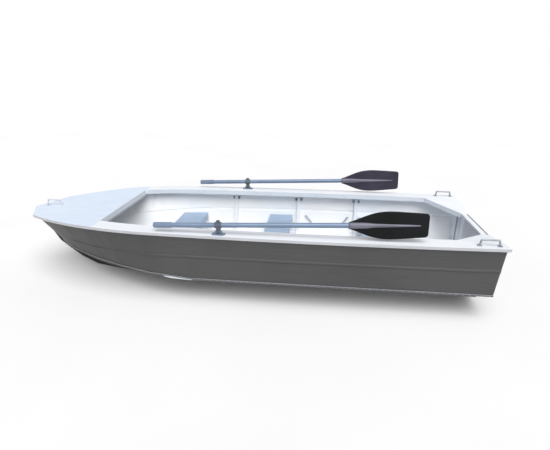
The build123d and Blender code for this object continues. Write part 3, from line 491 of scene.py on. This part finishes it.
def blade(name, sign, body):
    """Oar blade with its socket and spine, as one closed mesh."""
    points = []
    rows = [(along, blade_row(along, half)) for along, half in LEAF]
    width = len(rows[0][1])
    for face in (1, -1):
        for along, columns in rows:
            for height, thick in columns:
                spot = OAR_PIVOT + OAR_AFT * along + OAR_UP * height + Vector((0, face * thick, 0))
                points.append((spot.x, spot.y * sign, spot.z))
    count = len(rows) * width
    faces = []
    for row in range(len(rows) - 1):
        for column in range(width - 1):
            corner = row * width + column
            faces.append((corner, corner + 1, corner + width + 1, corner + width))
            back = corner + count
            faces.append((back, back + width, back + width + 1, back + 1))
        for corner in (row * width, row * width + width - 1):
            faces.append((corner, corner + width, corner + width + count, corner + count))
    for start in (0, (len(rows) - 1) * width):
        for column in range(width - 1):
            corner = start + column
            faces.append((corner, corner + count, corner + count + 1, corner + 1))
    # Near-black outer face and a painted reflection on the inner face
    paint = blade_paint(name + "_paint", BLADE_OUTER, BLADE_INNER_REFLECTION, (0, sign, 0))
    made = piece(name, points, faces, [paint, spine_highlight_plastic], body)
    # The spine's faces take the painted highlight
    spine = range(WING_COLUMNS, WING_COLUMNS + SPINE_COLUMNS)
    spine_rows = sum(1 for along, half in LEAF if along < SPINE[-1][0])
    for polygon in made.data.polygons:
        columns = [vertex % width for vertex in polygon.vertices]
        on_spine = min(columns) in spine and max(columns) - 1 in spine
        on_rows = max(vertex % count for vertex in polygon.vertices) // width <= spine_rows
        if on_spine and on_rows:
            polygon.material_index = 1
    outward_normals(made)
    return made


for side, sign in SIDES:
    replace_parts(blade("blade_leaf_" + side, sign, "oar_" + side), "oar_blade_" + side)

# Fasteners: rings of a low dome, as shares of the head's radius and height
HEAD_RINGS = [(1.35, 0.0), (1.35, 0.22), (1.0, 0.24), (0.98, 0.75), (0.72, 1.0)]
HEAD_CORNERS = 6


def heads(name, places, size, body):
    """Bolt heads on washers as one piece. Places are points with the direction the heads face."""
    radius, height = size
    points = []
    faces = []
    for place, facing in places:
        turn = Vector(facing).to_track_quat("Z", "Y")
        first = len(points)
        for wide, high in HEAD_RINGS:
            reach = wide * radius
            for corner in range(HEAD_CORNERS):
                angle = 2 * math.pi * corner / HEAD_CORNERS
                spot = Vector((reach * math.cos(angle), reach * math.sin(angle), high * height))
                points.append(Vector(place) + turn @ spot)
        for ring in range(len(HEAD_RINGS) - 1):
            for corner in range(HEAD_CORNERS):
                here = first + ring * HEAD_CORNERS + corner
                there = first + ring * HEAD_CORNERS + (corner + 1) % HEAD_CORNERS
                faces.append((here, there, there + HEAD_CORNERS, here + HEAD_CORNERS))
        last = first + (len(HEAD_RINGS) - 1) * HEAD_CORNERS
        faces.append([last + corner for corner in range(HEAD_CORNERS)])
        faces.append([first + corner for corner in reversed(range(HEAD_CORNERS))])
    return piece(name, points, faces, [bolt_steel], body, False)


# Painted highlight: bright metal for the strakes' front ends, which catch the light
strake_tip_glint = sheet_metal("strake_tip_glint", colour(196, 200, 206), colour(232, 235, 240), 0.35, 0.2, TIP_STREAK)
bolt_steel = moulded("bolt_steel", colour(120, 126, 136), colour(166, 172, 182), 0.35)
dark_bolt = moulded("dark_bolt", colour(84, 92, 106), colour(112, 120, 134), 0.45)

# Radius and height of each kind of head
BASE_HEAD = (0.0036, 0.0028)
CLIP_HEAD = (0.0034, 0.0026)
RIVET_HEAD = (0.0032, 0.0016)

# Bolts of the rowlock bases
BASE_TOP = 0.608
BASE_BOLT = (0.036, 0.013)
for side, sign in SIDES:
    spots = []
    for along in (-1, 1):
        for across in (-1, 1):
            x = OAR_PIVOT.x + along * BASE_BOLT[0]
            y = sign * (OAR_PIVOT.y + across * BASE_BOLT[1])
            spots.append(((x, y, BASE_TOP), (0, 0, 1)))
    heads("rowlock_bolts_" + side, spots, BASE_HEAD, "hull")

# Dark clips where the frames meet the decks, one each side of every frame
CLIP_LONG = 0.017
CLIP_TOP = 0.068
CLIP_HIGH = 0.024
CLIP_IN = (0.0345, 0.0240)
CLIP_EDGE = 0.003
CLIP_BOLT_SHARE = 0.55
clip_points = []
clip_faces = []
clip_bolts = []
for node in ("frame_fore", "frame_middle", "frame_aft"):
    low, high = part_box(node)
    for sign in (-1, 1):
        for way, start in ((-1, low[0]), (1, high[0])):
            first = len(clip_points)
            inner = sign * (high[1] - CLIP_IN[0])
            outer = sign * (high[1] - CLIP_IN[1])
            top = high[2] - CLIP_TOP
            base = top - CLIP_HIGH
            end = start + way * CLIP_LONG
            corner_x = start + way * (CLIP_LONG - CLIP_EDGE)
            cut = [
                (start, base), (corner_x, base), (end, base + CLIP_EDGE),
                (end, top - CLIP_EDGE), (corner_x, top), (start, top),
            ]
            clip_points += [(x, inner, z) for x, z in cut] + [(x, outer, z) for x, z in cut]
            size = len(cut)
            clip_faces.append([first + corner for corner in range(size)])
            clip_faces.append([first + size + corner for corner in range(size)])
            for corner in range(size):
                here = first + corner
                there = first + (corner + 1) % size
                clip_faces.append((here, there, there + size, here + size))
            bolt_x = start + way * CLIP_LONG * CLIP_BOLT_SHARE
            clip_bolts.append(((bolt_x, inner, top - CLIP_HIGH / 2), (0, -sign, 0)))
outward_normals(piece("frame_clips", clip_points, clip_faces, [dark_bolt], "hull", False))
heads("frame_clip_bolts", clip_bolts, CLIP_HEAD, "hull")

# Rivets along the chine rails: rail points in metres, port side
CHINE = [
    (-1.832, 0.540, 0.203), (-1.240, 0.548, 0.206), (-0.411, 0.554, 0.209), (0.340, 0.532, 0.199),
    (0.664, 0.491, 0.211), (0.929, 0.412, 0.219), (1.151, 0.325, 0.227), (1.321, 0.240, 0.235),
]
RIVET_GAP = 0.045
RAIL_MIDDLE = 0.0055
RAIL_OUT = 0.0069
RAIL_LEAN = -0.2
for side, sign in SIDES:
    spots = []
    for low, high in zip(CHINE, CHINE[1:]):
        run = Vector(high) - Vector(low)
        count = int(run.length / RIVET_GAP)
        outward = Vector((-run.y, run.x, RAIL_LEAN * run.x)).normalized()
        for number in range(count):
            spot = Vector(low) + run * ((number + 0.5) / count) + Vector((0, RAIL_OUT, RAIL_MIDDLE))
            spots.append(((spot.x, spot.y * sign, spot.z), (outward.x, outward.y * sign, outward.z)))
    heads("chine_rivets_" + side, spots, RIVET_HEAD, "hull")

# Front ends of the strakes, under the chine rails, painted bright as a highlight where they catch the light
# Columns: place along X, lower and upper edge from the rail's lower corner
STRAKE_TIP = [
    (0.320, -0.0015, 0.0020), (0.380, -0.0040, 0.0030), (0.430, -0.0070, 0.0040), (0.480, -0.0090, 0.0040),
    (0.520, -0.0065, 0.0030), (0.538, -0.0030, 0.0020), (0.545, -0.0010, 0.0010),
]
TIP_OUT = 0.0025
TIP_IN = -0.0040
for side, sign in SIDES:
    points = []
    faces = []
    for x, low, high in STRAKE_TIP:
        y, z = between(CHINE, x)
        outer = sign * (y + RAIL_OUT + TIP_OUT)
        inner = sign * (y + RAIL_OUT + TIP_IN)
        points += [(x, outer, z + low), (x, outer, z + high), (x, inner, z + high), (x, inner, z + low)]
    for row in range(len(STRAKE_TIP) - 1):
        for corner in range(4):
            here = row * 4 + corner
            there = row * 4 + (corner + 1) % 4
            faces.append((here, there, there + 4, here + 4))
    faces += [(0, 1, 2, 3), tuple(len(points) - 4 + corner for corner in range(4))]
    outward_normals(piece("strake_tip_" + side, points, faces, [strake_tip_glint], "hull", False))

# Camera
forward = Vector((math.sin(YAW) * math.cos(PITCH), -math.cos(YAW) * math.cos(PITCH), -math.sin(PITCH)))
right = Vector((-math.cos(YAW), -math.sin(YAW), 0))
down = forward.cross(right)
turned_right = right * math.cos(ROLL) + down * math.sin(ROLL)
turned_down = down * math.cos(ROLL) - right * math.sin(ROLL)
camera_data = bpy.data.cameras.new("camera")
camera_data.sensor_width = SENSOR_MM
camera_data.lens = FOCAL_PX * SENSOR_MM / WIDTH
camera = bpy.data.objects.new("camera", camera_data)
bpy.context.scene.collection.objects.link(camera)
turn = Matrix((turned_right, -turned_down, -forward)).transposed()
camera.matrix_world = Matrix.Translation(CAMERA_AT) @ turn.to_4x4()
bpy.context.scene.camera = camera

# Floor
FLOOR_HALF = 40
floor_corners = [(x * FLOOR_HALF, y * FLOOR_HALF, 0) for x, y in ((-1, -1), (1, -1), (1, 1), (-1, 1))]
floor_mesh = bpy.data.meshes.new("floor")
floor_mesh.from_pydata(floor_corners, [], [(0, 1, 2, 3)])
floor = bpy.data.objects.new("floor", floor_mesh)
bpy.context.scene.collection.objects.link(floor)
floor_paint = Nodes("floor_paint", 0.9, 0.0)
floor_stops = [(0.3, colour(247, 247, 248)), (0.7, colour(252, 252, 252))]
floor_paint.base(floor_paint.ramp(floor_paint.noise(0.6), floor_stops))


def seen_directly(tree):
    """1 for rays from the camera, mirrors and glass."""
    path = tree.nodes.new("ShaderNodeLightPath")
    total = path.outputs["Is Camera Ray"]
    for name in ("Is Glossy Ray", "Is Transmission Ray"):
        larger = tree.nodes.new("ShaderNodeMath")
        larger.operation = "MAXIMUM"
        tree.links.new(total, larger.inputs[0])
        tree.links.new(path.outputs[name], larger.inputs[1])
        total = larger.outputs[0]
    return total


FLOOR_GLOW = 0.05
glow = floor_paint.add("ShaderNodeMath", operation="MULTIPLY")
floor_paint.link(seen_directly(floor_paint.tree), glow.inputs[0])
glow.inputs[1].default_value = FLOOR_GLOW
floor_paint.shader.inputs["Emission Color"].default_value = (1, 1, 1, 1)
floor_paint.link(glow.outputs[0], floor_paint.shader.inputs["Emission Strength"])
floor_mesh.materials.append(floor_paint.material)

# Light
world = bpy.data.worlds.new("studio")
bpy.context.scene.world = world
world.use_nodes = True
world.node_tree.nodes["Background"].inputs["Color"].default_value = (1, 1, 1, 1)
WORLD_LIGHT = 0.22
level = world.node_tree.nodes.new("ShaderNodeMapRange")
level.inputs["To Min"].default_value = WORLD_LIGHT
level.inputs["To Max"].default_value = 1.0
world.node_tree.links.new(seen_directly(world.node_tree), level.inputs["Value"])
world.node_tree.links.new(level.outputs["Result"], world.node_tree.nodes["Background"].inputs["Strength"])

# Columns: name, where the light comes from, strength, spread in degrees
LIGHTS = [
    ("key", (-0.14, 0.53, 0.83), 2.66, 55),
    ("fill", (-0.10, 0.86, 0.50), 0.36, 60),
]
for name, source, strength, spread in LIGHTS:
    light_data = bpy.data.lights.new(name, "SUN")
    light_data.energy = strength
    light_data.angle = math.radians(spread)
    light = bpy.data.objects.new(name, light_data)
    bpy.context.scene.collection.objects.link(light)
    light.rotation_euler = (-Vector(source)).to_track_quat("-Z", "Y").to_euler()
bpy.context.scene.view_settings.view_transform = "Standard"
